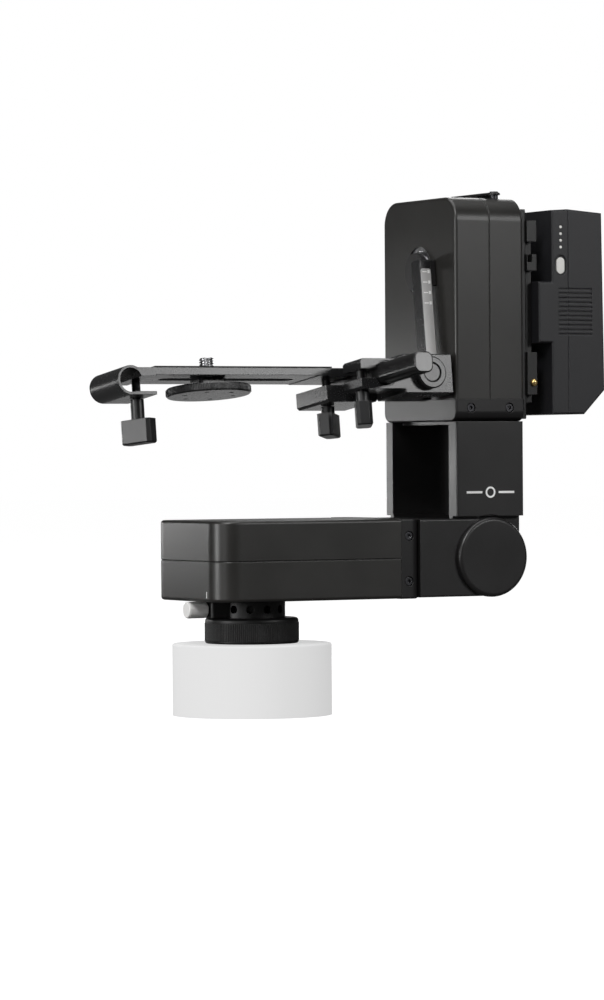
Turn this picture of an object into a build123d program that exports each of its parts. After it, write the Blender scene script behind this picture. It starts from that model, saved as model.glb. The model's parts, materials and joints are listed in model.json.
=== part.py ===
"""Motorised pan-and-tilt head for a cinema camera, one STEP file for each piece.

Frame: millimetres, +Z up, origin on the pan axis at the underside of the base. The arm runs
along +X, the front of the head faces -Y. The camera support is stored tilted lens-up.
"""
import os
from math import acos, cos, radians, sin

from build123d import *

# Base
BASE_R = 29.3
BASE_H = 16.0
COLLAR_R = 21.0
COLLAR_H = 10.5
THREAD_R = 4.0
INSERT_R = 9.0
INSERT_H = 11.0
BASE_SCREW_PCD = 34.0
BASE_SCREW_R = 2.0
BASE_HEAD_R = 3.5
BASE_HEAD_H = 4.0
BASE_SCREW_LENGTH = 19.0
SPIGOT_R = 12.0
CAPSTAN_R = 2.5
THUMB_Z = 21.4
THUMB_R = 5.0
THUMB_X0 = -46.0
THUMB_X1 = -32.5
THUMB_SCREW_R = 1.5
CLAMP_BLOCK_X0 = -32.0
CLAMP_BLOCK_X1 = -12.0
CLAMP_BLOCK_HALF = 8.0

# Drive unit, used for pan and for tilt: x runs from the rounded end, z from the output face
UNIT_LENGTH = 142.0
UNIT_DEPTH = 92.0
UNIT_HEIGHT = 50.0
UNIT_CORNER_R = 15.0
UNIT_EDGE_R = 2.0
WALL = 2.5
FLOOR = 3.0
BAND_LENGTH = 14.0
BAND_PROUD = 0.2
BAND_CORNER_R = 6.5
BAND_SCREW_X = 133.5
BAND_SCREW_SPREAD = 14.2
BAND_SCREW_R = 1.5
BAND_HOLE_Y = 38.0
BAND_HOLE_Z = 8.0
TONGUE_FIT = 0.2
TONGUE_WALL = 6.0
SEAM_HEIGHT = 0.8
SEAM_DEPTH = 0.5
SHELL_LENGTH = UNIT_LENGTH - BAND_LENGTH
MID_Z = UNIT_HEIGHT / 2
HALF_DEPTH = UNIT_DEPTH / 2
AXIS_X = HALF_DEPTH

# Drive inside the unit
SHAFT_R = 8.0
BEARING_R = 16.0
BEARING_H = 9.0
BEARING_LOW_Z = 1.0
BEARING_HIGH_Z = 23.0
BOSS_R = 19.0
BOSS_TOP = 32.0
MOTOR_OFFSET = 58.0
MOTOR_R = 18.0
MOTOR_TOP = 30.0
MOTOR_SHAFT_R = 2.5
PULLEY_Z = 33.5
PULLEY_H = 9.0
FLANGE_H = 1.0
BIG_PULLEY_R = 20.0
SMALL_PULLEY_R = 8.0
FLANGE_PROUD = 2.0
BELT_GAP = 0.3
BELT_THICK = 1.2
CABLE_HOLE_R = 7.0
BOARD_X0 = 30.0
BOARD_X1 = 108.0
BOARD_Y0 = -40.5
BOARD_Y1 = -38.9
BOARD_Z0 = 6.0
BOARD_Z1 = 44.0
CHIP_TOP = -37.4
PLUG_TOP = -33.0
SHELL_SCREWS = [(14.0, -32.0), (14.0, 32.0), (118.0, -36.0), (118.0, 36.0)]

# Places of the two units and the fold hinge between them
PAN_BOTTOM = 27.0
TOWER_LEFT = 122.5
TOWER_TOP = 280.0
HINGE_X = 147.5
HINGE_Z = PAN_BOTTOM + MID_Z
TOWER_BOTTOM = TOWER_TOP - UNIT_LENGTH
LINK_INSET = 0.4
LINK_HALF_DEPTH = 45.5
LINK_FOOT_Z = 78.0
EAR_THICK = 5.5
TONGUE_OUT = 39.7
TONGUE_IN = 35.7
FRONT_PLATE = 10.0
BACK_PLATE = 9.0
LINK_WALL = 3.0
WINDOW_FILLET = 12.0
ARM_WEB_END = 121.5
PIN_R = 6.0
BUSH_R = 9.0
CAP_R = 25.2
CAP_H = 4.0
CAP_EDGE_R = 2.4
TILT_Z = TOWER_TOP - AXIS_X
TILT_DEG = 7.3

# Battery side
PLATE_X0 = 172.5
PLATE_SLAB_X = 177.0
PLATE_FACE_X = 184.0
PLATE_Z0 = 139.5
PLATE_Z1 = 273.0
PLATE_HALF = 42.0
RAISED_HALF = 37.0
RAISED_Z0 = 150.0
RAISED_Z1 = 262.0
LUG_Y0 = 36.0
LUG_Y1 = 44.0
LUG_RANGES = [(155.0, 182.0), (234.0, 244.4), (252.4, 266.0)]
NOTCH_Z = 239.4
PAD_Z0 = 188.0
PAD_Z1 = 227.0
LUG_FACE_X = 183.6
CONTACT_X = 179.0
CONTACT_HALF = 13.5
CONTACT_Z = 160.0
CONTACT_HALF_H = 5.5
LATCH_X = 181.0
LATCH_Z = 162.6
LATCH_R = 2.4
BATTERY_Z0 = 142.4
BATTERY_Z1 = 273.6
BATTERY_BACK_X = 194.0
BATTERY_SPLIT_X = 206.0
BATTERY_FACE_X = 233.5
BATTERY_TAPER = 1.8
BATTERY_WALL = 3.0
BATTERY_EDGE_R = 1.3
FOOT_X = 218.0
FOOT_Z = 158.0
LIGHT_X = 200.5
BUTTON_Z = 237.4
BUTTON_LONG = 10.4
BUTTON_WIDE = 5.6
CELL_R = 9.2
CELL_HALF = 32.5
CELL_X = 207.5
CELL_Z0 = 157.0
CELL_STEP = 20.0
CELL_COUNT = 6
LED_COUNT = 4
LED_Z0 = 249.2
LED_STEP = 4.3
GRIP_X0 = 199.0
GRIP_X1 = 224.0
GRIP_Z0 = 193.4
GRIP_COUNT = 11
GRIP_STEP = 2.9
GRIP_GROOVE = 1.3
GRIP_DEPTH = 0.8
PLATE_SCREWS = [(y, z) for y in (-32.0, 32.0) for z in (170.0, 255.0)]

LEVER_X = 160.0
LEVER_Y = -31.0
LEVER_LENGTH = 48.0
LEVER_TOP = 3.8
LEVER_THICK = 1.5
LEVER_HALF = 4.0
LEVER_PIN_R = 2.7
LEVER_NECK_R = 1.5

# Camera support, in the tilted frame about the tilt axis
POST_X0 = 110.5
POST_X1 = 118.5
POST_Y0 = -22.0
POST_Y1 = -11.0
POST_TOP = 4.5
HUB_R = 12.0
HUB_CAP = 1.6
BLOCK_X0 = 84.0
BLOCK_X1 = 119.0
BLOCK_Z0 = -84.0
BLOCK_Z1 = -59.0
BRACKET_Y0 = -39.0
BLOCK_Y1 = -2.0
BAR_X0 = 53.0
BAR_Y1 = -16.0
BAR_Z0 = -81.0
BAR_Z1 = -62.0
ROD_X = 70.7
ROD_Z = -71.4
ROD_SIZE = 13.2
ROD_CORNER_R = 4.5
ROD_BORE_R = 7.5
ROD_Y0 = -87.0
PLATE_TOP = -63.6
PLATE_THICK = 4.5
PLATE_Y0 = -8.0
PLATE_Y1 = 33.0
CLAMP_X = -91.0
CLAMP_OUTER_R = 9.1
LIP_END_X = -74.0
LEG_X0 = 45.0
LEG_X1 = 81.0
LEG_BOTTOM = -85.0
CAMERA_Y = 12.5
CAMERA_X = -28.0
SLOT_X0 = -62.0
SLOT_X1 = 32.0
SLOT_W = 10.0
STUD_R = 4.76
SHANK_R = 4.6
PAD_TOP = -62.6
STUD_TOP = -54.6
WHEEL_R = 26.5
WHEEL_Z0 = -78.3
WHEEL_Z1 = -73.0
HEIGHT_KNOB_X = 101.0
HEIGHT_KNOB_R = 10.2
HEIGHT_DISC_R = 5.6
HEIGHT_GROOVE = 0.8
HEIGHT_SCREW_R = 3.0
ROD_KNOB_X = 59.3
ROD_KNOB_Y = -27.5
LEFT_KNOB_X = -78.0
RIGHT_KNOB_X = 56.0
LEG_GAP = 6.0
KNOB_LENGTH = 22.0
KNOB_WIDTH = 10.0
KNOB_SHANK_R = 4.25
KNOB_SCREW_R = 2.5

RUNNING = 0.05
GAP = 0.3

PAN_UNIT = Pos(-AXIS_X, 0, PAN_BOTTOM)
TILT_UNIT = Pos(TOWER_LEFT, 0, TOWER_TOP) * Rot(0, 90, 0)
SUPPORT = Pos(0, 0, TILT_Z) * Rot(-TILT_DEG, 0, 0)


def block(x0, x1, y0, y1, z0, z1):
    """Box between two corners."""
    middle = Pos((x0 + x1) / 2, (y0 + y1) / 2, (z0 + z1) / 2)
    return middle * Box(x1 - x0, y1 - y0, z1 - z0)


def rod_z(radius, z0, z1, x=0.0, y=0.0):
    """Cylinder along Z from z0 to z1."""
    return Pos(x, y, (z0 + z1) / 2) * Cylinder(radius, z1 - z0)


def rod_y(radius, y0, y1, x=0.0, z=0.0):
    """Cylinder along Y from y0 to y1."""
    return Pos(x, (y0 + y1) / 2, z) * Rot(90, 0, 0) * Cylinder(radius, y1 - y0)


def rod_x(radius, x0, x1, y=0.0, z=0.0):
    """Cylinder along X from x0 to x1."""
    return Pos((x0 + x1) / 2, y, z) * Rot(0, 90, 0) * Cylinder(radius, x1 - x0)


def tube_z(outer, inner, z0, z1, x=0.0, y=0.0):
    """Ring along Z."""
    return rod_z(outer, z0, z1, x, y) - rod_z(inner, z0 - 1, z1 + 1, x, y)


def socket_screw(head_r, head_h, shank_r, length, socket_r):
    """Socket-head screw, head on top at z = 0, shank down along -Z."""
    head = rod_z(head_r, -head_h, 0)
    head = chamfer(head.edges().group_by(Axis.Z)[-1], 0.3)
    socket = Pos(0, 0, -head_h / 2) * extrude(RegularPolygon(socket_r, 6), head_h)
    return head + rod_z(shank_r, -head_h - length, -head_h) - socket


def group(solids):
    """Separate solids kept in one node."""
    return Compound(children=[piece.solid() for piece in solids])


# ---------------------------------------------------------------- base


def capstan_holes():
    """Radial holes for a tommy bar, evenly round the collar."""
    hole = rod_x(CAPSTAN_R, COLLAR_R - 6, COLLAR_R + 1, z=THUMB_Z)
    return [Rot(0, 0, angle) * hole for angle in range(-150, 151, 30)]


def base_screw_places():
    """Axes of the screws that hold the collar on the base ring."""
    return [Rot(0, 0, angle) * Pos(BASE_SCREW_PCD / 2, 0, 0) for angle in (45, 135, 225, 315)]


def base_ring():
    ring = rod_z(BASE_R, 0, BASE_H)
    ring = fillet(ring.edges().group_by(Axis.Z)[-1], 2.0)
    ring = chamfer(ring.edges().group_by(Axis.Z)[0], 0.8)
    ring -= rod_z(INSERT_R + RUNNING, -1, INSERT_H + RUNNING)
    for place in base_screw_places():
        ring -= place * rod_z(BASE_HEAD_R + GAP, -1, BASE_HEAD_H + 0.8)
        ring -= place * rod_z(BASE_SCREW_R + 0.1, 0, BASE_H + 1)
    return ring


def thread_insert():
    return tube_z(INSERT_R, THREAD_R, 0, INSERT_H)


def mount_collar():
    collar = rod_z(COLLAR_R, BASE_H, BASE_H + COLLAR_H)
    collar = chamfer(collar.edges().group_by(Axis.Z)[-1], 0.6)
    collar -= rod_z(SHAFT_R + RUNNING, BASE_H - 1, BASE_H + COLLAR_H + 1)
    collar -= rod_z(SPIGOT_R + RUNNING, BASE_H - 1, BASE_H + 3 + RUNNING)
    for hole in capstan_holes():
        collar -= hole
    for place in base_screw_places():
        collar -= place * rod_z(BASE_SCREW_R + RUNNING, BASE_H - 1, BASE_H + 8)
    collar -= rod_x(THUMB_SCREW_R + RUNNING, -COLLAR_R - 1, -14, z=THUMB_Z)
    return collar


def clamp_block():
    body = block(CLAMP_BLOCK_X0, CLAMP_BLOCK_X1, -CLAMP_BLOCK_HALF, CLAMP_BLOCK_HALF,
                 BASE_H + GAP, BASE_H + COLLAR_H - 0.2)
    body = fillet(body.edges().filter_by(Axis.Z).sort_by(Axis.X)[:2], 2.0)
    body -= rod_z(COLLAR_R + RUNNING, BASE_H - 1, PAN_BOTTOM)
    body -= rod_x(THUMB_SCREW_R + RUNNING, CLAMP_BLOCK_X0 - 8, 0, z=THUMB_Z)
    return body


def clamp_thumbscrew():
    head = rod_x(THUMB_R, THUMB_X0, THUMB_X1, z=THUMB_Z)
    head = chamfer(head.edges(), 0.5)
    return head + rod_x(THUMB_SCREW_R, THUMB_X1 - 0.5, -15, z=THUMB_Z)


def base_screws():
    screw = socket_screw(BASE_HEAD_R, BASE_HEAD_H, BASE_SCREW_R, BASE_SCREW_LENGTH, 1.6)
    screw = Rot(180, 0, 0) * screw
    return group([place * Pos(0, 0, 0.4) * screw for place in base_screw_places()])


# ---------------------------------------------------------------- drive unit


def rounded_end_block(length, depth, z0, z1, corner):
    """Block from x = 0 whose two upright edges at x = 0 are rounded."""
    body = block(0, length, -depth / 2, depth / 2, z0, z1)
    return fillet(body.edges().filter_by(Axis.Z).sort_by(Axis.X)[:2], corner)


def soften_rims(body, length, radius):
    """Round the rims of the two large faces, but not the open end at x = length."""
    faces = body.faces().sort_by(Axis.Z)
    rims = faces[0].edges() + faces[-1].edges()
    return fillet([rim for rim in rims if rim.center().X < length - 0.01], radius)


def housing():
    """Hollow casing of a drive unit, open at the band end, with the seam groove."""
    outer = rounded_end_block(SHELL_LENGTH, UNIT_DEPTH, 0, UNIT_HEIGHT, UNIT_CORNER_R)
    outer = soften_rims(outer, SHELL_LENGTH, UNIT_EDGE_R)
    inside_r = UNIT_CORNER_R - WALL
    inside_depth = UNIT_DEPTH - 2 * WALL
    inside = rounded_end_block(SHELL_LENGTH, inside_depth, FLOOR, UNIT_HEIGHT - FLOOR, inside_r)
    seam_low = MID_Z - SEAM_HEIGHT / 2
    seam_high = MID_Z + SEAM_HEIGHT / 2
    core_r = UNIT_CORNER_R - SEAM_DEPTH
    core_depth = UNIT_DEPTH - 2 * SEAM_DEPTH
    core = rounded_end_block(SHELL_LENGTH, core_depth, seam_low, seam_high, core_r)
    slab = block(-1, SHELL_LENGTH, -UNIT_DEPTH, UNIT_DEPTH, seam_low, seam_high)
    return outer - Pos(WALL, 0, 0) * inside - (slab - Pos(SEAM_DEPTH, 0, 0) * core)


def output_shell(casing):
    """Half of the casing with the output shaft's bearing boss."""
    shell = casing & block(-1, SHELL_LENGTH, -UNIT_DEPTH, UNIT_DEPTH, -1, MID_Z)
    shell += rod_z(BOSS_R, FLOOR - 0.5, BOSS_TOP, AXIS_X)
    for x, y in SHELL_SCREWS:
        shell += rod_z(4.5, FLOOR - 0.5, MID_Z, x, y)
        shell -= rod_z(1.5 + RUNNING, 12, MID_Z + 1, x, y)
    for x in (36.0, 100.0):
        shell += rod_y(2.5, -HALF_DEPTH + WALL - 0.5, -40.5, x, 12.0)
    shell -= rod_z(BEARING_R + RUNNING, -1, BEARING_LOW_Z + BEARING_H + RUNNING, AXIS_X)
    shell -= rod_z(BEARING_R + RUNNING, BEARING_HIGH_Z - RUNNING, BOSS_TOP + 1, AXIS_X)
    shell -= rod_z(BEARING_R - 2, 0, BOSS_TOP + 1, AXIS_X)
    return shell


def cover_shell(casing):
    """Half of the casing away from the output shaft."""
    shell = casing & block(-1, SHELL_LENGTH, -UNIT_DEPTH, UNIT_DEPTH, MID_Z, UNIT_HEIGHT + 1)
    for x, y in SHELL_SCREWS:
        shell += rod_z(4.5, MID_Z, UNIT_HEIGHT - FLOOR + 0.5, x, y)
        shell -= rod_z(1.5 + RUNNING, MID_Z - 1, UNIT_HEIGHT, x, y)
        shell -= rod_z(3.1, UNIT_HEIGHT - 3.4, UNIT_HEIGHT + 1, x, y)
    return shell


def shell_screws():
    screw = socket_screw(2.75, 3.0, 1.5, 34.0, 1.4)
    return group([Pos(x, y, UNIT_HEIGHT - 0.4) * screw for x, y in SHELL_SCREWS])


def band_screw_places():
    """Screw axes on both long sides of the band, +Z of each place pointing outward."""
    places = []
    for side, turn in ((-1, 90), (1, -90)):
        for offset in (-BAND_SCREW_SPREAD, BAND_SCREW_SPREAD):
            face_y = side * (HALF_DEPTH + BAND_PROUD)
            places.append(Pos(BAND_SCREW_X, face_y, MID_Z + offset) * Rot(turn, 0, 0))
    return places


def end_band():
    """Slightly proud frame that closes the unit and takes the link's spigot."""
    half = HALF_DEPTH + BAND_PROUD
    band = block(SHELL_LENGTH, UNIT_LENGTH, -half, half, -BAND_PROUD, UNIT_HEIGHT + BAND_PROUD)
    band = fillet(band.edges().filter_by(Axis.Z).sort_by(Axis.X)[-2:], BAND_CORNER_R)
    rims = band.faces().sort_by(Axis.Z)[0].edges() + band.faces().sort_by(Axis.Z)[-1].edges()
    band = fillet([rim for rim in rims if rim.center().X > SHELL_LENGTH + 0.01], 1.2)
    band -= block(SHELL_LENGTH - 1, UNIT_LENGTH + 1, -BAND_HOLE_Y, BAND_HOLE_Y,
                  BAND_HOLE_Z, UNIT_HEIGHT - BAND_HOLE_Z)
    for place in band_screw_places():
        band -= place * rod_z(3.1, -3.4, 1)
        band -= place * rod_z(BAND_SCREW_R + RUNNING, -12, 0)
    return band


def band_screws():
    screw = socket_screw(2.75, 3.0, BAND_SCREW_R, 8.0, 1.4)
    return group([place * Pos(0, 0, -0.3) * screw for place in band_screw_places()])


def bearings():
    low = tube_z(BEARING_R, SHAFT_R + RUNNING, BEARING_LOW_Z, BEARING_LOW_Z + BEARING_H, AXIS_X)
    high = tube_z(BEARING_R, SHAFT_R + RUNNING, BEARING_HIGH_Z, BEARING_HIGH_Z + BEARING_H, AXIS_X)
    groove = tube_z(13.2, 11.2, -1, 60, AXIS_X)
    face_low = BEARING_LOW_Z + 0.6
    face_high = BEARING_HIGH_Z + BEARING_H - 0.6
    shields = groove & block(0, 100, -50, 50, face_low, face_high)
    return group([low - (groove - shields), high - (groove - shields)])


def pulley(radius, bore):
    """Flanged belt pulley standing on z = 0."""
    body = rod_z(radius, 0, PULLEY_H)
    body += rod_z(radius + FLANGE_PROUD, 0, FLANGE_H)
    body += rod_z(radius + FLANGE_PROUD, PULLEY_H - FLANGE_H, PULLEY_H)
    if bore:
        body -= rod_z(bore, -1, PULLEY_H + 1)
    return body


def output_pulley():
    return Pos(AXIS_X, 0, PULLEY_Z) * pulley(BIG_PULLEY_R, SHAFT_R + RUNNING)


def motor_pulley():
    """Motor's pulley with the motor shaft that carries it."""
    wheel = Pos(AXIS_X + MOTOR_OFFSET, 0, PULLEY_Z) * pulley(SMALL_PULLEY_R, 0)
    return wheel + rod_z(MOTOR_SHAFT_R, 20, PULLEY_Z + 1, AXIS_X + MOTOR_OFFSET)


def motor():
    centre = AXIS_X + MOTOR_OFFSET
    can = rod_z(MOTOR_R, FLOOR, MOTOR_TOP, centre)
    can = fillet(can.edges().group_by(Axis.Z)[-1], 1.5)
    for angle in range(0, 360, 45):
        vent = Rot(0, 0, angle) * rod_z(1.6, MOTOR_TOP - 4, MOTOR_TOP + 1, 12.0)
        can -= Pos(centre, 0, 0) * vent
    return can - rod_z(MOTOR_SHAFT_R + RUNNING, 19.5, MOTOR_TOP + 1, centre)


def belt_outline(clearance):
    """Outline round both pulleys at a distance from their belt faces."""
    big = BIG_PULLEY_R + clearance
    small = SMALL_PULLEY_R + clearance
    lean = acos((big - small) / MOTOR_OFFSET)
    near = (big * cos(lean), big * sin(lean))
    far = (MOTOR_OFFSET + small * cos(lean), small * sin(lean))
    sides = Polygon((near[0], -near[1]), (far[0], -far[1]), far, near, align=None)
    return Circle(big) + Pos(MOTOR_OFFSET, 0) * Circle(small) + sides


def belt():
    low = PULLEY_Z + FLANGE_H + BELT_GAP
    height = PULLEY_H - 2 * FLANGE_H - 2 * BELT_GAP
    outer = extrude(belt_outline(BELT_GAP + BELT_THICK), height)
    inner = extrude(belt_outline(BELT_GAP), height)
    return Pos(AXIS_X, 0, low) * (outer - inner)


def control_board():
    board = block(BOARD_X0, BOARD_X1, BOARD_Y0, BOARD_Y1, BOARD_Z0, BOARD_Z1)
    seat = BOARD_Y1 - GAP
    for x, width, height in ((44, 12, 12), (66, 16, 10), (90, 10, 16)):
        board += block(x, x + width, seat, CHIP_TOP, MID_Z - height / 2, MID_Z + height / 2)
    return board + block(BOARD_X0 + 2, BOARD_X0 + 10, seat, PLUG_TOP, MID_Z + 5, BOARD_Z1 - 2)


def tongue_block(x0, x1, inset):
    """Block in the band's opening, with a fit gap and an inset on its four sides."""
    half_y = BAND_HOLE_Y - TONGUE_FIT - inset
    half_z = MID_Z - BAND_HOLE_Z - TONGUE_FIT - inset
    return block(x0, x1, -half_y, half_y, MID_Z - half_z, MID_Z + half_z)


def spigot(end_x):
    """Hollow tongue of a link that sits in the unit's band."""
    outer = tongue_block(UNIT_LENGTH - BAND_LENGTH + 1, end_x, 0)
    outer -= tongue_block(UNIT_LENGTH - BAND_LENGTH, end_x + 1, TONGUE_WALL)
    web = tongue_block(UNIT_LENGTH - 1, UNIT_LENGTH + 1, TONGUE_WALL - 1.2)
    outer += web - rod_x(CABLE_HOLE_R, UNIT_LENGTH - 2, UNIT_LENGTH + 2, 0, MID_Z)
    for place in band_screw_places():
        outer -= place * rod_z(BAND_SCREW_R + RUNNING, -12, 0)
    return outer


# ---------------------------------------------------------------- arm and hinge


def arm_link():
    """Horizontal link with the two ears of the fold hinge."""
    half_h = MID_Z - LINK_INSET
    body = block(UNIT_LENGTH - AXIS_X, HINGE_X, -LINK_HALF_DEPTH, LINK_HALF_DEPTH,
                 HINGE_Z - half_h, HINGE_Z + half_h)
    body += rod_y(half_h, -LINK_HALF_DEPTH, LINK_HALF_DEPTH, HINGE_X, HINGE_Z)
    ear_in = LINK_HALF_DEPTH - EAR_THICK
    body -= block(ARM_WEB_END, HINGE_X + 40, -ear_in, ear_in, 0, 100)
    start = UNIT_LENGTH - AXIS_X
    inside = tongue_block(UNIT_LENGTH + 1, ARM_WEB_END - LINK_WALL + AXIS_X, TONGUE_WALL)
    body -= PAN_UNIT * inside
    body -= rod_x(CABLE_HOLE_R, start - 1, HINGE_X, 0, HINGE_Z)
    body += PAN_UNIT * spigot(UNIT_LENGTH + 1)
    outer_edges = [edge for edge in body.edges().filter_by(Axis.X)
                   if abs(edge.center().Y) > LINK_HALF_DEPTH - 0.01]
    body = fillet(outer_edges, 1.2)
    return body - rod_y(PIN_R + RUNNING, -60, 60, HINGE_X, HINGE_Z)


def hinge_cap(side):
    """Round cover over an ear: side is -1 at the front and +1 at the back."""
    cap = rod_z(CAP_R, 0, CAP_H)
    cap = fillet(cap.edges().group_by(Axis.Z)[-1], CAP_EDGE_R)
    return Pos(HINGE_X, side * LINK_HALF_DEPTH, HINGE_Z) * Rot(-90 * side, 0, 0) * cap


def hinge_pin():
    pin = rod_y(PIN_R, -LINK_HALF_DEPTH + 0.3, LINK_HALF_DEPTH - 0.3, HINGE_X, HINGE_Z)
    pin = chamfer(pin.edges(), 0.5)
    return pin - rod_y(3.0, -60, 60, HINGE_X, HINGE_Z)


def tower_link():
    """Upright link: two plates and a right wall, with tongues down to the hinge."""
    left = TOWER_LEFT + LINK_INSET
    right = TOWER_LEFT + UNIT_HEIGHT - LINK_INSET
    body = block(left, right, -LINK_HALF_DEPTH, LINK_HALF_DEPTH, LINK_FOOT_Z, TOWER_BOTTOM)
    front_y = -LINK_HALF_DEPTH + FRONT_PLATE
    back_y = LINK_HALF_DEPTH - BACK_PLATE
    window = block(left - 30, right - LINK_WALL, front_y, back_y, 0, TOWER_BOTTOM + 1)
    window = fillet(window.edges().filter_by(Axis.Z).sort_by(Axis.X)[-2:], WINDOW_FILLET)
    body -= window
    corners = [edge for edge in body.edges().filter_by(Axis.Z)
               if abs(edge.center().Y) > LINK_HALF_DEPTH - 0.01]
    body = fillet(corners, 1.2)
    half = MID_Z - LINK_INSET
    for side in (-1, 1):
        low_y = min(side * TONGUE_IN, side * TONGUE_OUT)
        high_y = max(side * TONGUE_IN, side * TONGUE_OUT)
        body += rod_y(half, low_y, high_y, HINGE_X, HINGE_Z)
        body += block(left, right, low_y, high_y, HINGE_Z, LINK_FOOT_Z + 1)
    body += TILT_UNIT * spigot(UNIT_LENGTH + 2)
    body -= rod_y(BUSH_R + RUNNING, -60, 60, HINGE_X, HINGE_Z)
    relief = rod_y(CAP_R + 1.6, -60, -LINK_HALF_DEPTH + 1.0, HINGE_X, HINGE_Z)
    relief += rod_y(CAP_R + 1.6, LINK_HALF_DEPTH - 1.0, 60, HINGE_X, HINGE_Z)
    return body - relief


def hinge_bushes():
    bushes = []
    for low_y in (-TONGUE_OUT, TONGUE_IN):
        high_y = low_y + TONGUE_OUT - TONGUE_IN
        ring = rod_y(BUSH_R, low_y, high_y, HINGE_X, HINGE_Z)
        bushes.append(ring - rod_y(PIN_R + RUNNING, -60, 60, HINGE_X, HINGE_Z))
    return group(bushes)


# ---------------------------------------------------------------- battery side


def plate_screw_holes(radius, x0, x1):
    return [rod_x(radius, x0, x1, y, z) for y, z in PLATE_SCREWS]


def tower_shell_right(casing):
    """Cover half of the tilt unit, with bosses that take the battery plate's screws."""
    shell = TILT_UNIT * cover_shell(casing)
    for boss in plate_screw_holes(4.0, PLATE_X0 - 10, PLATE_X0 - 1):
        shell += boss
    for hole in plate_screw_holes(2.0 + RUNNING, PLATE_X0 - 11, PLATE_X0 + 1):
        shell -= hole
    return shell - rod_z(LEVER_PIN_R + RUNNING, TOWER_TOP - 2.6, TOWER_TOP + 1, LEVER_X, LEVER_Y)


def wedge(top_half, bottom_half, x0, x1, z0, z1):
    """Upright V-shaped wedge, wider at the top."""
    outline = Polygon((-bottom_half, z0), (bottom_half, z0), (top_half, z1), (-top_half, z1),
                      align=None)
    return Pos(x0, 0, 0) * extrude(Plane.YZ * outline, x1 - x0)


def battery_plate():
    """Slab on the tower with a V-shaped pocket and guide lugs on both edges."""
    plate = block(PLATE_X0, PLATE_SLAB_X, -PLATE_HALF, PLATE_HALF, PLATE_Z0, PLATE_Z1)
    plate = chamfer(plate.edges().group_by(Axis.X)[-1], 0.8)
    plate += block(PLATE_SLAB_X - 0.5, PLATE_FACE_X - GAP, -RAISED_HALF, RAISED_HALF,
                   RAISED_Z0, RAISED_Z1)
    for z0, z1 in LUG_RANGES:
        plate += block(PLATE_SLAB_X - 0.5, LUG_FACE_X, -LUG_Y1, -LUG_Y0, z0, z1)
        plate += block(PLATE_SLAB_X - 0.5, LUG_FACE_X, LUG_Y0, LUG_Y1, z0, z1)
    notch_x = PLATE_SLAB_X + 3.2
    plate -= block(PLATE_SLAB_X, notch_x, -60, -RAISED_HALF, NOTCH_Z, NOTCH_Z + 10)
    plate -= block(PLATE_SLAB_X, notch_x, RAISED_HALF, 60, NOTCH_Z, NOTCH_Z + 10)
    plate -= wedge(31, 21, PLATE_SLAB_X + 0.5, PLATE_FACE_X + 1, PAD_Z0 - 2, RAISED_Z1 + 1)
    for hole in plate_screw_holes(2.1, PLATE_X0 - 1, 190):
        plate -= hole
    for head in plate_screw_holes(3.8, PLATE_SLAB_X - 1.5, 190):
        plate -= head
    plate -= block(PLATE_X0 - 1, PLATE_X0 + 0.4, -50, 50, 130, 152.6)
    plate -= rod_y(LATCH_R + RUNNING, -45, -40, LATCH_X, LATCH_Z)
    return plate - contact_block(190, 0.5)


def contact_block(x1, margin):
    return block(CONTACT_X, x1, -CONTACT_HALF - margin, CONTACT_HALF + margin,
                 CONTACT_Z - CONTACT_HALF_H - margin, CONTACT_Z + CONTACT_HALF_H + margin)


def latch_pin():
    """Brass plunger in the plate's lower front lug, which catches the battery."""
    pin = rod_y(LATCH_R, -46.4, -40.1, LATCH_X, LATCH_Z)
    return fillet(pin.edges().group_by(Axis.Y)[0], 1.9)


def plate_screws():
    screw = Rot(0, 90, 0) * socket_screw(3.5, 4.0, 2.0, 11.0, 1.6)
    return group([Pos(PLATE_SLAB_X + 2.5, y, z) * screw for y, z in PLATE_SCREWS])


def battery_contacts():
    """Contact block low on the plate with four pins."""
    strip = contact_block(CONTACT_X + 6, 0)
    for y in (-9, -3, 3, 9):
        strip += rod_x(1.3, CONTACT_X + 5.5, CONTACT_X + 10.5, y, CONTACT_Z)
    return strip


def battery_half(outline, pocket):
    """One half of the battery case, from its side outline and its inner outline."""
    shell = Pos(0, HALF_DEPTH, 0) * extrude(Plane.XZ * Polygon(*outline, align=None), UNIT_DEPTH)
    sides = shell.faces().filter_by(Axis.Y)
    rims = [edge for face in sides for edge in face.edges()
            if abs(edge.center().X - BATTERY_SPLIT_X) > 0.01]
    shell = fillet(rims, BATTERY_EDGE_R)
    depth = UNIT_DEPTH - 2 * BATTERY_WALL
    hollow = extrude(Plane.XZ * Polygon(*pocket, align=None), depth)
    return shell - Pos(0, HALF_DEPTH - BATTERY_WALL, 0) * hollow


def grip_grooves():
    """Level finger grooves in the front and back of the battery case."""
    grooves = []
    for step in range(GRIP_COUNT):
        z = GRIP_Z0 + GRIP_STEP * step
        for side in (-1, 1):
            middle = Pos((GRIP_X0 + GRIP_X1) / 2, side * HALF_DEPTH, z)
            length = GRIP_X1 - GRIP_X0
            grooves.append(middle * Box(length, 2 * GRIP_DEPTH, GRIP_GROOVE))
    return grooves


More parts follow.
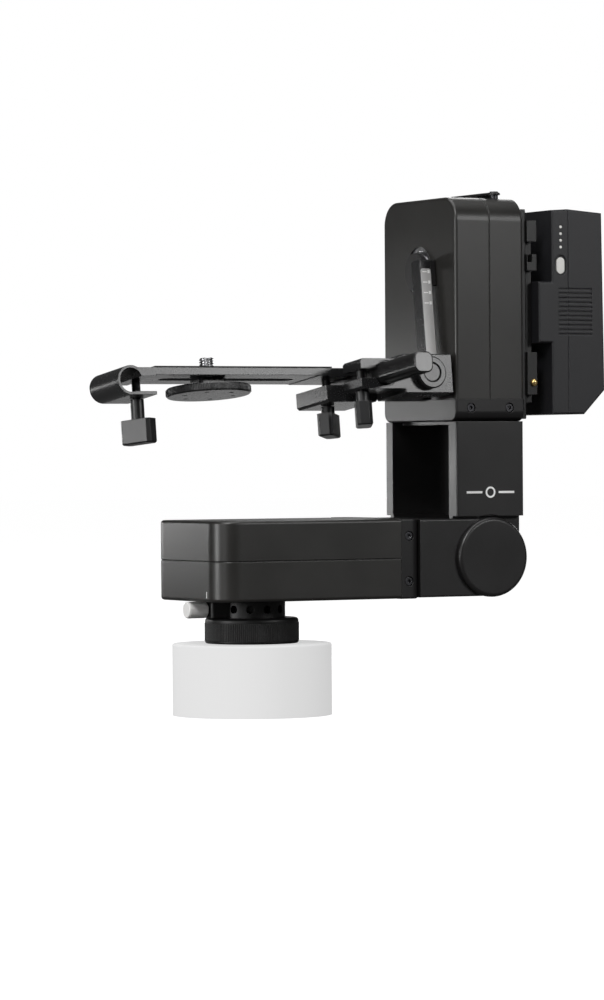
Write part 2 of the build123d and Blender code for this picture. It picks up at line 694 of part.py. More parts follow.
def battery_shell_inner():
    """Half of the case that meets the plate, with the wedge and the charge lights."""
    back = BATTERY_BACK_X
    split = BATTERY_SPLIT_X
    outline = [(split, BATTERY_Z0), (split, BATTERY_Z1), (back, BATTERY_Z1 - 0.8),
               (back, PAD_Z1), (PLATE_FACE_X, PAD_Z1), (PLATE_FACE_X, PAD_Z0),
               (back, PAD_Z0), (back, BATTERY_Z0)]
    low = BATTERY_Z0 + BATTERY_WALL
    high = BATTERY_Z1 - BATTERY_WALL - 1
    pocket = [(split, low), (split, high), (back + BATTERY_WALL, high), (back + BATTERY_WALL, low)]
    shell = battery_half(outline, pocket)
    shell += wedge(24.5, 21.0, PLATE_SLAB_X + 1.2, PLATE_FACE_X + 0.5, PAD_Z0 + 2, PAD_Z1)
    shell -= battery_button_shape(0.25, -HALF_DEPTH - 1, -HALF_DEPTH + BATTERY_WALL + 1)
    shell -= battery_button_shape(1.5, -HALF_DEPTH - 1, -HALF_DEPTH + 0.9)
    for z in led_heights():
        shell -= rod_y(0.9 + RUNNING, -HALF_DEPTH - 1, -HALF_DEPTH + 1.2, LIGHT_X, z)
    for groove in grip_grooves():
        shell -= groove
    return shell


def battery_shell_outer():
    """Outward half of the case, with a slanted foot and a slightly tapered face."""
    split = BATTERY_SPLIT_X
    face = BATTERY_FACE_X
    outline = [(split, BATTERY_Z0), (FOOT_X, BATTERY_Z0), (face, FOOT_Z),
               (face - BATTERY_TAPER, BATTERY_Z1 - 2), (split, BATTERY_Z1)]
    low = BATTERY_Z0 + BATTERY_WALL
    high = BATTERY_Z1 - BATTERY_WALL - 1
    inner_face = face - BATTERY_TAPER - BATTERY_WALL
    pocket = [(split, low), (FOOT_X - 2, low), (inner_face, FOOT_Z + 1), (inner_face, high - 2),
              (split, high)]
    shell = battery_half(outline, pocket)
    for groove in grip_grooves():
        shell -= groove
    return shell - seam_groove()


def seam_groove():
    """Fine line round the case where its halves meet."""
    split = BATTERY_SPLIT_X
    tall = block(split - 1, split + 0.4, -60, 60, 100, 300)
    core = block(split - 2, split + 1, -HALF_DEPTH + 0.5, HALF_DEPTH - 0.5,
                 BATTERY_Z0 + 0.5, BATTERY_Z1 - 0.5)
    return tall - core


def led_heights():
    return [LED_Z0 + LED_STEP * step for step in range(LED_COUNT)]


def battery_leds():
    lights = [rod_y(0.9, -HALF_DEPTH - 0.1, -HALF_DEPTH + 1.1, LIGHT_X, z) for z in led_heights()]
    return group(lights)


def battery_button_shape(margin, y0, y1):
    outline = SlotOverall(BUTTON_LONG + 2 * margin, BUTTON_WIDE + 2 * margin, rotation=90)
    return Pos(LIGHT_X, y1, BUTTON_Z) * extrude(Plane.XZ * outline, y1 - y0)


def battery_button():
    return battery_button_shape(0, -HALF_DEPTH + 0.1, -HALF_DEPTH + 2.4)


def battery_cells():
    cells = []
    for step in range(CELL_COUNT):
        cell = rod_y(CELL_R, -CELL_HALF, CELL_HALF, CELL_X, CELL_Z0 + CELL_STEP * step)
        cells.append(chamfer(cell.edges(), 0.6))
    return group(cells)


def release_lever():
    """Thin lever above the tower's top, turning about an upright pin."""
    low = TOWER_TOP + 0.4
    high = TOWER_TOP + LEVER_TOP
    under = high - LEVER_THICK
    x0 = LEVER_X - LEVER_HALF
    x1 = LEVER_X + LEVER_HALF
    tip = LEVER_Y + LEVER_LENGTH
    bar = block(x0, x1, LEVER_Y, tip, under, high)
    bar += rod_z(LEVER_HALF, under, high, LEVER_X, LEVER_Y)
    bar += block(x1 - 1.3, x1, LEVER_Y + LEVER_HALF, tip, low, high)
    bar += block(x0, x1, tip - 8, tip, low, high)
    bar = chamfer(bar.edges().group_by(Axis.Z)[-1], 0.4)
    return bar - rod_z(LEVER_NECK_R + RUNNING, low - 1, high + 1, LEVER_X, LEVER_Y)


def lever_pivot():
    """Stepped pin: a thick spacer under the lever, a thin neck and a cap."""
    high = TOWER_TOP + LEVER_TOP
    pin = rod_z(LEVER_PIN_R, TOWER_TOP - 2.5, high - LEVER_THICK - RUNNING, LEVER_X, LEVER_Y)
    pin += rod_z(LEVER_NECK_R, TOWER_TOP, high + RUNNING, LEVER_X, LEVER_Y)
    return pin + rod_z(LEVER_PIN_R, high + RUNNING, high + 0.7, LEVER_X, LEVER_Y)


# ---------------------------------------------------------------- camera support


def tilt_shaft():
    start = POST_X1 + HUB_CAP - TOWER_LEFT
    return TILT_UNIT * rod_z(SHAFT_R, start, PULLEY_Z + PULLEY_H + 1, AXIS_X)


def tilt_hub():
    """Flange that joins the post to the tilt shaft, clear of the tower's left face."""
    hub = rod_x(HUB_R, POST_X1, TOWER_LEFT - GAP)
    hub += block(POST_X1, TOWER_LEFT - GAP, POST_Y0 + 0.5, 0, -HUB_R, POST_TOP - 0.5)
    hub = chamfer(hub.edges().group_by(Axis.X)[-1], 0.4)
    return SUPPORT * (hub - rod_x(SHAFT_R + RUNNING, POST_X1 + HUB_CAP, TOWER_LEFT + 1))


def height_post():
    """Flat upright post fixed to the hub's left side."""
    post = block(POST_X0, POST_X1, POST_Y0, POST_Y1, BLOCK_Z0 + 1, POST_TOP)
    top_corners = post.edges().filter_by(Axis.X).group_by(Axis.Z)[-1]
    post = fillet(top_corners, 1.5)
    return SUPPORT * chamfer(post.edges().filter_by(Axis.Z), 0.5)


def rod_section(size):
    return RectangleRounded(size, size, ROD_CORNER_R)


def l_bracket():
    """Block that rides on the post, with a split bar that clamps the slide rod."""
    body = block(BLOCK_X0, BLOCK_X1, BRACKET_Y0, BLOCK_Y1, BLOCK_Z0, BLOCK_Z1)
    body = chamfer(body.edges(), 0.6)
    bar = block(BAR_X0, BLOCK_X0 + 2, BRACKET_Y0, BAR_Y1, BAR_Z0, BAR_Z1)
    bar = chamfer(bar.edges().filter_by(Axis.Y).sort_by(Axis.X)[:2], 1.5)
    body += bar
    body -= block(POST_X0 - GAP, BLOCK_X1 + 1, POST_Y0 - GAP, POST_Y1 + GAP, -100, -50)
    body -= rod_y(ROD_BORE_R, -60, 0, ROD_X, ROD_Z)
    body -= rod_y(8.2, BRACKET_Y0 - 1, BRACKET_Y0 + 0.8, ROD_X, ROD_Z)
    body -= block(BAR_X0 - 1, ROD_X, -60, 0, ROD_Z - 3, ROD_Z + 3)
    body -= rod_z(KNOB_SCREW_R + RUNNING, BAR_Z0 - 1, BAR_Z1 - 3, ROD_KNOB_X, ROD_KNOB_Y)
    body -= rod_y(HEIGHT_SCREW_R + RUNNING, BRACKET_Y0 - 1, POST_Y0 + 1, HEIGHT_KNOB_X, ROD_Z)
    return SUPPORT * body


def height_knob():
    """Round clamp knob on the bracket's front: a ring round a small centre disc."""
    face = BRACKET_Y0 - 0.4
    x = HEIGHT_KNOB_X
    knob = rod_y(HEIGHT_KNOB_R, face - 5.4, face, x, ROD_Z)
    knob = chamfer(knob.edges().group_by(Axis.Y)[0], 0.8)
    knob -= rod_y(HEIGHT_DISC_R + HEIGHT_GROOVE, face - 6, face - 1.6, x, ROD_Z)
    knob += rod_y(HEIGHT_DISC_R, face - 4.8, face - 1.0, x, ROD_Z)
    return SUPPORT * (knob + rod_y(HEIGHT_SCREW_R, face - 1, POST_Y0 - 1, x, ROD_Z))


def slide_rod():
    rod = Pos(ROD_X, PLATE_Y1, ROD_Z) * extrude(Plane.XZ * rod_section(ROD_SIZE), PLATE_Y1 - ROD_Y0)
    rod = chamfer(rod.edges().group_by(Axis.Y)[0], 0.8)
    return SUPPORT * rod


def plate_slab(x0, x1, z0, z1):
    return block(x0, x1, PLATE_Y0, PLATE_Y1, z0, z1)


def camera_plate():
    """Slotted plate with a C-shaped rod clamp on the left and a clamp leg on the right."""
    top = PLATE_TOP
    plate = plate_slab(CLAMP_X, LEG_X1, top - PLATE_THICK, top)
    plate += plate_slab(CLAMP_X, LIP_END_X, top - 5.4, top)
    plate += rod_y(CLAMP_OUTER_R, PLATE_Y0, PLATE_Y1, CLAMP_X, ROD_Z)
    lip_bottom = ROD_Z - CLAMP_OUTER_R
    plate += plate_slab(CLAMP_X, LIP_END_X, lip_bottom, lip_bottom + 2.1)
    plate += plate_slab(LEG_X0, LEG_X1, LEG_BOTTOM, top - 1)
    corner = block(LEG_X0 - 6, LEG_X0 + 1, PLATE_Y0, PLATE_Y1, -75, top - 1)
    corner -= rod_y(6.0, -60, 60, LEG_X0 - 6, top - PLATE_THICK - 6)
    plate += corner & block(LEG_X0 - 6, LEG_X0 + 1, -60, 60, -74.1, 0)
    lower = [edge for edge in plate.edges().filter_by(Axis.Y) if edge.center().Z < LEG_BOTTOM + 0.1]
    plate = chamfer(lower, 1.5)
    plate -= rod_y(ROD_BORE_R, -60, 60, CLAMP_X, ROD_Z)
    plate -= block(CLAMP_X, LIP_END_X + 1, -60, 60, lip_bottom + 2.1, top - 5.4)
    plate -= rod_y(ROD_BORE_R, -60, 60, ROD_X, ROD_Z)
    plate -= block(LEG_X0 - 10, ROD_X, -60, 60, ROD_Z - LEG_GAP / 2, ROD_Z + LEG_GAP / 2)
    slot = SlotOverall(SLOT_X1 - SLOT_X0, SLOT_W)
    slot_middle = Pos((SLOT_X0 + SLOT_X1) / 2, CAMERA_Y, top - 10)
    plate -= slot_middle * extrude(slot, 12)
    for x, high in ((LEFT_KNOB_X, top - 1), (RIGHT_KNOB_X, top - 2)):
        plate -= rod_z(KNOB_SCREW_R + RUNNING, -90, high, x, CAMERA_Y)
    return SUPPORT * plate


def rubber_pad():
    pad = block(-74, 50, PLATE_Y0 + 0.6, PLATE_Y1 - 0.6, PLATE_TOP, PAD_TOP)
    slot = extrude(SlotOverall(SLOT_X1 - SLOT_X0 + 2, SLOT_W + 2), 4)
    return SUPPORT * (pad - Pos((SLOT_X0 + SLOT_X1) / 2, CAMERA_Y, PLATE_TOP - 1) * slot)


def screw_carrier():
    """Flanged bush that slides along the plate's slot and holds the camera screw."""
    under = PLATE_TOP - PLATE_THICK
    body = block(CAMERA_X - 9, CAMERA_X + 9, CAMERA_Y - 8, CAMERA_Y + 8, under - 3.2, under - 0.2)
    neck_half = SLOT_W / 2 - 0.2
    body = fillet(body.edges().filter_by(Axis.Z), 2.0)
    body += block(CAMERA_X - 8, CAMERA_X + 8, CAMERA_Y - neck_half, CAMERA_Y + neck_half,
                  under - 1, PLATE_TOP - 0.4)
    return SUPPORT * (body - rod_z(SHANK_R + RUNNING, -90, -50, CAMERA_X, CAMERA_Y))


def camera_screw():
    stud = rod_z(STUD_R, PAD_TOP, STUD_TOP, CAMERA_X, CAMERA_Y)
    stud = chamfer(stud.edges().group_by(Axis.Z)[-1], 0.8)
    return SUPPORT * (stud + rod_z(SHANK_R, WHEEL_Z0 + 1, PAD_TOP, CAMERA_X, CAMERA_Y))


def camera_screw_wheel():
    wheel = rod_z(WHEEL_R, WHEEL_Z0, WHEEL_Z1, CAMERA_X, CAMERA_Y)
    wheel = chamfer(wheel.edges(), 0.7)
    wheel -= rod_z(SHANK_R + RUNNING, WHEEL_Z0 + 1, WHEEL_Z1 + 1, CAMERA_X, CAMERA_Y)
    for angle in range(0, 360, 60):
        hole = Rot(0, 0, angle) * rod_z(1.6, WHEEL_Z0 - 1, WHEEL_Z0 + 3, 17.0)
        wheel -= Pos(CAMERA_X, CAMERA_Y, 0) * hole
    return SUPPORT * wheel


def thumb_knob(x, y, top, block_top, bottom, screw_top, turn):
    """Block-shaped knob under a clamp, with a wide shank and its clamp screw."""
    grip = block(-KNOB_LENGTH / 2, KNOB_LENGTH / 2, -KNOB_WIDTH / 2, KNOB_WIDTH / 2,
                 bottom, block_top)
    grip = chamfer(grip.edges().filter_by(Axis.Z), 2.0)
    grip = chamfer(grip.edges().group_by(Axis.Z)[0], 0.8)
    knob = grip + rod_z(KNOB_SHANK_R, block_top - 1, top)
    knob += rod_z(KNOB_SCREW_R, top - 1, screw_top)
    return SUPPORT * Pos(x, y, 0) * Rot(0, 0, turn) * knob


# ---------------------------------------------------------------- all pieces


def drive_pieces(place, prefix, casing):
    """Pieces that both drive units have inside, by node name."""
    return {
        prefix + "_bearings": place * bearings(),
        prefix + "_motor": place * motor(),
        prefix + "_motor_pulley": place * motor_pulley(),
        prefix + "_belt": place * belt(),
        prefix + "_control_board": place * control_board(),
    }


def all_pieces():
    casing = housing()
    pieces = {
        "base_ring": base_ring(),
        "thread_insert": thread_insert(),
        "mount_collar": mount_collar(),
        "clamp_block": clamp_block(),
        "base_screws": base_screws(),
        "clamp_thumbscrew": clamp_thumbscrew(),
        "pan_shaft": rod_z(SHAFT_R, BASE_H + 0.1, PAN_BOTTOM + PULLEY_Z + PULLEY_H + 1)
        + rod_z(12, BASE_H + 0.1, BASE_H + 3),
        "pan_fixed_pulley": PAN_UNIT * output_pulley(),
        "pan_shell_lower": PAN_UNIT * output_shell(casing),
        "pan_shell_upper": PAN_UNIT * cover_shell(casing),
        "pan_shell_screws": PAN_UNIT * shell_screws(),
        "pan_band": PAN_UNIT * end_band(),
        "pan_band_screws": PAN_UNIT * band_screws(),
        "arm_link": arm_link(),
        "hinge_cap_front": hinge_cap(-1),
        "hinge_cap_back": hinge_cap(1),
        "hinge_pin": hinge_pin(),
        "tower_link": tower_link(),
        "hinge_bushes": hinge_bushes(),
        "tower_shell_left": TILT_UNIT * output_shell(casing),
        "tower_shell_right": tower_shell_right(casing),
        "tower_shell_screws": TILT_UNIT * shell_screws(),
        "tower_band": TILT_UNIT * end_band(),
        "tower_band_screws": TILT_UNIT * band_screws(),
        "battery_plate": battery_plate(),
        "plate_screws": plate_screws(),
        "battery_contacts": battery_contacts(),
        "latch_pin": latch_pin(),
        "battery_shell_inner": battery_shell_inner(),
        "battery_shell_outer": battery_shell_outer(),
        "battery_cells": battery_cells(),
        "battery_leds": battery_leds(),
        "battery_button": battery_button(),
        "release_lever": release_lever(),
        "lever_pivot": lever_pivot(),
        "tilt_shaft": tilt_shaft(),
        "tilt_hub": tilt_hub(),
        "tilt_driven_pulley": TILT_UNIT * output_pulley(),
        "height_post": height_post(),
        "l_bracket": l_bracket(),
        "height_knob": height_knob(),
        "slide_rod": slide_rod(),
        "camera_plate": camera_plate(),
        "rubber_pad": rubber_pad(),
        "screw_carrier": screw_carrier(),
        "camera_screw": camera_screw(),
        "camera_screw_wheel": camera_screw_wheel(),
        "rod_knob": thumb_knob(ROD_KNOB_X, ROD_KNOB_Y, BAR_Z0 - 0.4, -88.3, -103.4, BAR_Z1 - 4, 64),
        "plate_knob_left": thumb_knob(LEFT_KNOB_X, CAMERA_Y, -80.9, -93.4, -108.6, -66, -61),
        "plate_knob_right": thumb_knob(RIGHT_KNOB_X, CAMERA_Y, -85.4, -90.3, -104.7, -67, 47),
    }
    pieces.update(drive_pieces(PAN_UNIT, "pan", casing))
    pieces.update(drive_pieces(TILT_UNIT, "tilt", casing))
    return pieces


os.makedirs("parts", exist_ok=True)
for node, piece in all_pieces().items():
    export_step(piece, f"parts/{node}.step")
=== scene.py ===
"""Looks of the motorised pan-and-tilt head: finishes, knurls, threads, markings and studio."""
import json
import math

import bmesh
import bpy
from mathutils import Matrix, Vector


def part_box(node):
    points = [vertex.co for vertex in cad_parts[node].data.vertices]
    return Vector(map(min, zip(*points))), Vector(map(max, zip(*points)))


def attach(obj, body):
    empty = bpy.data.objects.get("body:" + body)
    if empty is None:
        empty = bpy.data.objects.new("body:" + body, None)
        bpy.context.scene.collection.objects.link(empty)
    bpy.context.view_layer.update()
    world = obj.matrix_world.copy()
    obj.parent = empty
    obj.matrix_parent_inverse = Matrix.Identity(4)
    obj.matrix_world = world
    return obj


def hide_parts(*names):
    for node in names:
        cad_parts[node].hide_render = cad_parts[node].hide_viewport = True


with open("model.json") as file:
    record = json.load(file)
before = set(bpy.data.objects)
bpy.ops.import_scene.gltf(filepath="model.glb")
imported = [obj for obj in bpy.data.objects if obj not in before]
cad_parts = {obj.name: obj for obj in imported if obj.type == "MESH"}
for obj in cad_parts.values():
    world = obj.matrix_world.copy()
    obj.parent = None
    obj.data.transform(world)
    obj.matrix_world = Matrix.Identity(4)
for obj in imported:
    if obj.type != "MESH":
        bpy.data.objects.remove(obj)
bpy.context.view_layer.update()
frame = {"nodes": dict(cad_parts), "record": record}

MM = 0.001
TILT = math.radians(7.3)
TILT_AXIS = Vector((0, 0, 234)) * MM
FULL_TURN = 2 * math.pi

# Lens, place and turn of the camera
LENS_MM = 151.5
SENSOR_MM = 36
CAMERA_PLACE = Vector((-1.2228, -2.3355, 0.1159))
CAMERA_TURN = math.radians(28.33)
CAMERA_RISE = math.radians(-0.58)
CAMERA_ROLL = math.radians(0.38)

# ---------------------------------------------------------------- node helpers


def new_group(name, inputs, outputs):
    """Empty shader node group with float or vector inputs and named outputs."""
    group = bpy.data.node_groups.new(name, "ShaderNodeTree")
    for label, kind, value in inputs:
        socket = group.interface.new_socket(label, in_out="INPUT", socket_type=kind)
        socket.default_value = value
    for label, kind in outputs:
        group.interface.new_socket(label, in_out="OUTPUT", socket_type=kind)
    return group


def place_node(tree, kind, links=(), **settings):
    """Node of a kind with its settings, and its inputs linked or set by name or number."""
    node = tree.nodes.new(kind)
    for key, value in settings.items():
        setattr(node, key, value)
    for key, value in dict(links).items():
        if isinstance(value, bpy.types.NodeSocket):
            tree.links.new(value, node.inputs[key])
        else:
            node.inputs[key].default_value = value
    return node


def maths(tree, operation, first, second=0.0, clamp=False):
    node = place_node(tree, "ShaderNodeMath", {0: first, 1: second}, operation=operation)
    node.use_clamp = clamp
    return node.outputs[0]


def ramp_value(tree, value, low, high):
    """0 below low and 1 above high, smooth between."""
    node = place_node(tree, "ShaderNodeMapRange", {"Value": value, "From Min": low,
                                                   "From Max": high})
    node.interpolation_type = "SMOOTHSTEP"
    return node.outputs["Result"]


# ---------------------------------------------------------------- shared surface effects

FLOAT = "NodeSocketFloat"
VECTOR = "NodeSocketVector"


def object_point(tree):
    return tree.nodes.new("ShaderNodeTexCoord").outputs["Object"]


def make_soft_edge():
    """Rounded look of machined edges, and a broken mask of where handling has rubbed them, which
    on the battery case mostly lays a painted highlight along the edges.
    """
    group = new_group("soft_edge", [("Radius", FLOAT, 0.0004), ("Break", FLOAT, 0.5)],
                      [("Normal", VECTOR), ("Edge", FLOAT)])
    inside = group.nodes.new("NodeGroupInput")
    bevel = place_node(group, "ShaderNodeBevel", {"Radius": inside.outputs["Radius"]}, samples=6)
    flat = group.nodes.new("ShaderNodeNewGeometry").outputs["Normal"]
    dot = place_node(group, "ShaderNodeVectorMath", {0: bevel.outputs[0], 1: flat},
                     operation="DOT_PRODUCT")
    edge = ramp_value(group, maths(group, "SUBTRACT", 1.0, dot.outputs["Value"]), 0.02, 0.25)
    noise = place_node(group, "ShaderNodeTexNoise", {"Vector": object_point(group),
                                                     "Scale": 420.0, "Detail": 4.0})
    broken = ramp_value(group, noise.outputs[0], 0.35, 0.7)
    kept = maths(group, "MULTIPLY", inside.outputs["Break"], broken)
    solid = maths(group, "SUBTRACT", 1.0, inside.outputs["Break"])
    share = maths(group, "ADD", kept, solid, clamp=True)
    out = group.nodes.new("NodeGroupOutput")
    group.links.new(bevel.outputs[0], out.inputs["Normal"])
    group.links.new(maths(group, "MULTIPLY", edge, share), out.inputs["Edge"])
    return group


def make_fine_grain():
    """Height of a blasted or moulded grain, in two sizes."""
    group = new_group("fine_grain", [("Scale", FLOAT, 2600.0), ("Coarse", FLOAT, 0.3)],
                      [("Height", FLOAT)])
    inside = group.nodes.new("NodeGroupInput")
    point = object_point(group)
    fine = place_node(group, "ShaderNodeTexNoise", {"Vector": point, "Scale": inside.outputs[0],
                                                    "Detail": 2.0})
    wide = maths(group, "MULTIPLY", inside.outputs[0], 0.28)
    coarse = place_node(group, "ShaderNodeTexNoise", {"Vector": point, "Scale": wide,
                                                      "Detail": 3.0})
    weighted = maths(group, "MULTIPLY", coarse.outputs[0], inside.outputs["Coarse"])
    out = group.nodes.new("NodeGroupOutput")
    group.links.new(maths(group, "ADD", fine.outputs[0], weighted), out.inputs["Height"])
    return group


def make_handling():
    """Slow changes of gloss and tone where the surface has been touched and wiped."""
    group = new_group("handling", [("Roughness", FLOAT, 0.4), ("Spread", FLOAT, 0.08),
                                   ("Scale", FLOAT, 22.0)],
                      [("Roughness", FLOAT), ("Tone", FLOAT)])
    inside = group.nodes.new("NodeGroupInput")
    point = object_point(group)
    slow = place_node(group, "ShaderNodeTexNoise", {"Vector": point, "Detail": 5.0,
                                                    "Scale": inside.outputs["Scale"]})
    spots = place_node(group, "ShaderNodeTexNoise", {"Vector": point, "Scale": 900.0,
                                                     "Detail": 2.0})
    centred = maths(group, "SUBTRACT", slow.outputs[0], 0.5)
    speck = maths(group, "MULTIPLY", maths(group, "SUBTRACT", spots.outputs[0], 0.5), 0.35)
    swing = maths(group, "MULTIPLY", maths(group, "ADD", centred, speck),
                  maths(group, "MULTIPLY", inside.outputs["Spread"], 2.0))
    out = group.nodes.new("NodeGroupOutput")
    rough = maths(group, "ADD", inside.outputs["Roughness"], swing, clamp=True)
    group.links.new(rough, out.inputs["Roughness"])
    group.links.new(ramp_value(group, slow.outputs[0], 0.3, 0.7), out.inputs["Tone"])
    return group


SOFT_EDGE = make_soft_edge()
FINE_GRAIN = make_fine_grain()
HANDLING = make_handling()

# ---------------------------------------------------------------- finishes

TONE_SWING = 0.10


def use_group(tree, group, **values):
    node = tree.nodes.new("ShaderNodeGroup")
    node.node_tree = group
    for key, value in values.items():
        node.inputs[key].default_value = value
    return node


def mixed_colour(tree, factor, first, second):
    mix = tree.nodes.new("ShaderNodeMix")
    mix.data_type = "RGBA"
    if isinstance(factor, bpy.types.NodeSocket):
        tree.links.new(factor, mix.inputs["Factor"])
    else:
        mix.inputs["Factor"].default_value = factor
    for slot, colour in (("A", first), ("B", second)):
        sockets = [s for s in mix.inputs if s.name == slot and s.type == "RGBA"]
        if isinstance(colour, bpy.types.NodeSocket):
            tree.links.new(colour, sockets[0])
        else:
            sockets[0].default_value = (*colour, 1.0)
    return [s for s in mix.outputs if s.type == "RGBA"][0]


def surface(name, colour, roughness, metallic=0.0, wear_and_sheen_colour=None, wear_and_sheen_amount=0.5, edge_mm=0.35,
            grain=2600.0, grain_depth=0.010, coarse=0.3, spread=0.06, specular=0.5, coat=0.0):
    """Finish built from the shared effects: soft edges rubbed lighter by handling (on the battery
    case mostly a painted edge highlight), grain and handled gloss.

    Colours are linear, edge_mm and grain_depth are in mm, and grain is in cells per metre.
    """
    material = bpy.data.materials.new(name)
    material.use_nodes = True
    tree = material.node_tree
    shader = tree.nodes["Principled BSDF"]
    shader.inputs["Metallic"].default_value = metallic
    shader.inputs["Specular IOR Level"].default_value = specular
    shader.inputs["Coat Weight"].default_value = coat
    edges = use_group(tree, SOFT_EDGE, Radius=edge_mm * MM, Break=1.0 - wear_and_sheen_amount)
    handled = use_group(tree, HANDLING, Roughness=roughness, Spread=spread)
    lighter = [min(1.0, channel * (1 + 2 * TONE_SWING)) for channel in colour]
    darker = [channel * (1 - TONE_SWING) for channel in colour]
    body = mixed_colour(tree, handled.outputs["Tone"], darker, lighter)
    # Edge colour along the edge mask: rubbed edges, and on the battery case mostly a painted
    # highlight.
    if wear_and_sheen_colour:
        body = mixed_colour(tree, maths(tree, "MULTIPLY", edges.outputs["Edge"], wear_and_sheen_amount), body, wear_and_sheen_colour)
    tree.links.new(body, shader.inputs["Base Color"])
    tree.links.new(handled.outputs["Roughness"], shader.inputs["Roughness"])
    grains = use_group(tree, FINE_GRAIN, Scale=grain, Coarse=coarse)
    bump = place_node(tree, "ShaderNodeBump", {"Height": grains.outputs["Height"],
                                               "Distance": grain_depth * MM, "Strength": 1.0,
                                               "Normal": edges.outputs["Normal"]})
    tree.links.new(bump.outputs[0], shader.inputs["Normal"])
    return material


WORN_ALLOY = (0.20, 0.20, 0.20)
WORN_ROD = (0.30, 0.30, 0.30)
WORN_STEEL = (0.40, 0.40, 0.40)
# Battery case edge colour: partly rubbed edges, mostly a painted highlight on the filleted edges.
CASE_EDGE_WEAR_AND_SHEEN = (0.11, 0.11, 0.12)
FINISHES = {
    "unit_black": surface("unit_black", (0.0165, 0.0158, 0.0145), 0.36, wear_and_sheen_colour=WORN_ALLOY, wear_and_sheen_amount=0.25,
                          edge_mm=0.5, specular=0.55),
    "link_black": surface("link_black", (0.0100, 0.0096, 0.0098), 0.36, wear_and_sheen_colour=WORN_ALLOY, wear_and_sheen_amount=0.25,
                          edge_mm=0.5, specular=0.55),
    "band_black": surface("band_black", (0.0070, 0.0067, 0.0070), 0.36, wear_and_sheen_colour=WORN_ALLOY, wear_and_sheen_amount=0.25,
                          edge_mm=0.4, specular=0.5),
    "support_black": surface("support_black", (0.013, 0.013, 0.0135), 0.27, wear_and_sheen_colour=WORN_ALLOY,
                             wear_and_sheen_amount=0.35, edge_mm=0.35, grain_depth=0.004, spread=0.03),
    "rod_grey": surface("rod_grey", (0.010, 0.010, 0.010), 0.24, wear_and_sheen_colour=WORN_ROD, wear_and_sheen_amount=0.5,
                        edge_mm=0.4, grain_depth=0.004, spread=0.03),
    "base_black": surface("base_black", (0.0065, 0.0065, 0.0065), 0.42, wear_and_sheen_colour=WORN_ALLOY, wear_and_sheen_amount=0.25,
                          edge_mm=0.35, specular=0.4),
    "silver_metal": surface("silver_metal", (0.95, 0.94, 0.92), 0.30, metallic=0.0, edge_mm=0.25,
                            grain_depth=0.004),
    "screw_steel": surface("screw_steel", (0.06, 0.06, 0.065), 0.32, metallic=0.8,
                           wear_and_sheen_colour=WORN_STEEL, wear_and_sheen_amount=0.6, edge_mm=0.15, grain_depth=0.004),
    "shaft_steel": surface("shaft_steel", (0.55, 0.55, 0.56), 0.28, metallic=1.0, edge_mm=0.25,
                           grain_depth=0.004),
    "knob_black": surface("knob_black", (0.012, 0.012, 0.0125), 0.36, edge_mm=0.5, grain=1800.0,
                          grain_depth=0.02),
    # Battery case: its lighter edges are mostly a painted highlight, partly rubbed edges.
    "battery_case": surface("battery_case", (0.0125, 0.0125, 0.0145), 0.46,
                            wear_and_sheen_colour=CASE_EDGE_WEAR_AND_SHEEN, wear_and_sheen_amount=0.6, edge_mm=0.7,
                            grain=1500.0, grain_depth=0.03, coarse=0.5),
    "plate_black": surface("plate_black", (0.006, 0.006, 0.006), 0.40, edge_mm=0.4, grain=1500.0,
                           grain_depth=0.02),
    "button_light": surface("button_light", (0.74, 0.73, 0.70), 0.30, edge_mm=0.3, grain=900.0,
                            grain_depth=0.004, coat=0.4),
    "cell_wrap": surface("cell_wrap", (0.08, 0.20, 0.38), 0.35, edge_mm=0.4),
    "board_green": surface("board_green", (0.01, 0.10, 0.045), 0.38, edge_mm=0.15, grain=700.0),
    "belt_rubber": surface("belt_rubber", (0.015, 0.015, 0.015), 0.75, edge_mm=0.2),
    "pad_rubber": surface("pad_rubber", (0.012, 0.012, 0.012), 0.72, edge_mm=0.3, grain=900.0,
                          grain_depth=0.06, coarse=0.6),
    "contact_brass": surface("contact_brass", (0.78, 0.55, 0.22), 0.24, metallic=1.0,
                             edge_mm=0.2, grain_depth=0.003),
    "bush_bronze": surface("bush_bronze", (0.50, 0.32, 0.15), 0.36, metallic=1.0, edge_mm=0.2),
    "scale_grey": surface("scale_grey", (0.42, 0.415, 0.41), 0.36, metallic=0.0, edge_mm=0.1,
                          grain=3000.0, grain_depth=0.004),
    "marking_white": surface("marking_white", (0.85, 0.85, 0.83), 0.55, edge_mm=0.05,
                             grain=3000.0, grain_depth=0.004),
}


def dress(thing, finish):
    thing.data.materials.clear()
    thing.data.materials.append(FINISHES[finish])


for row in frame["record"]["subparts"]:
    dress(frame["nodes"][row["node"]], row["material_slot"])

# ---------------------------------------------------------------- mesh helpers


def mesh_piece(name, corners, faces, finish, body, place=None):
    """New piece from corners in metres, placed, dressed and riding on a body."""
    mesh = bpy.data.meshes.new(name)
    mesh.from_pydata(corners, [], faces)
    mesh.validate()
    if place is not None:
        mesh.transform(place)
    shape = bmesh.new()
    shape.from_mesh(mesh)
    bmesh.ops.recalc_face_normals(shape, faces=shape.faces)
    shape.to_mesh(mesh)
    shape.free()
    thing = bpy.data.objects.new(name, mesh)
    bpy.context.scene.collection.objects.link(thing)
    dress(thing, finish)
    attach(thing, body)
    return thing


def ring_stack(rings):
    """Faces that join a closed loop of rings, each with the same number of corners."""
    count = len(rings[0])
    corners = [corner for ring in rings for corner in ring]
    faces = []
    for level in range(len(rings)):
        above = (level + 1) % len(rings)
        for step in range(count):
            following = (step + 1) % count
            faces.append((level * count + step, level * count + following,
                          above * count + following, above * count + step))
    return corners, faces


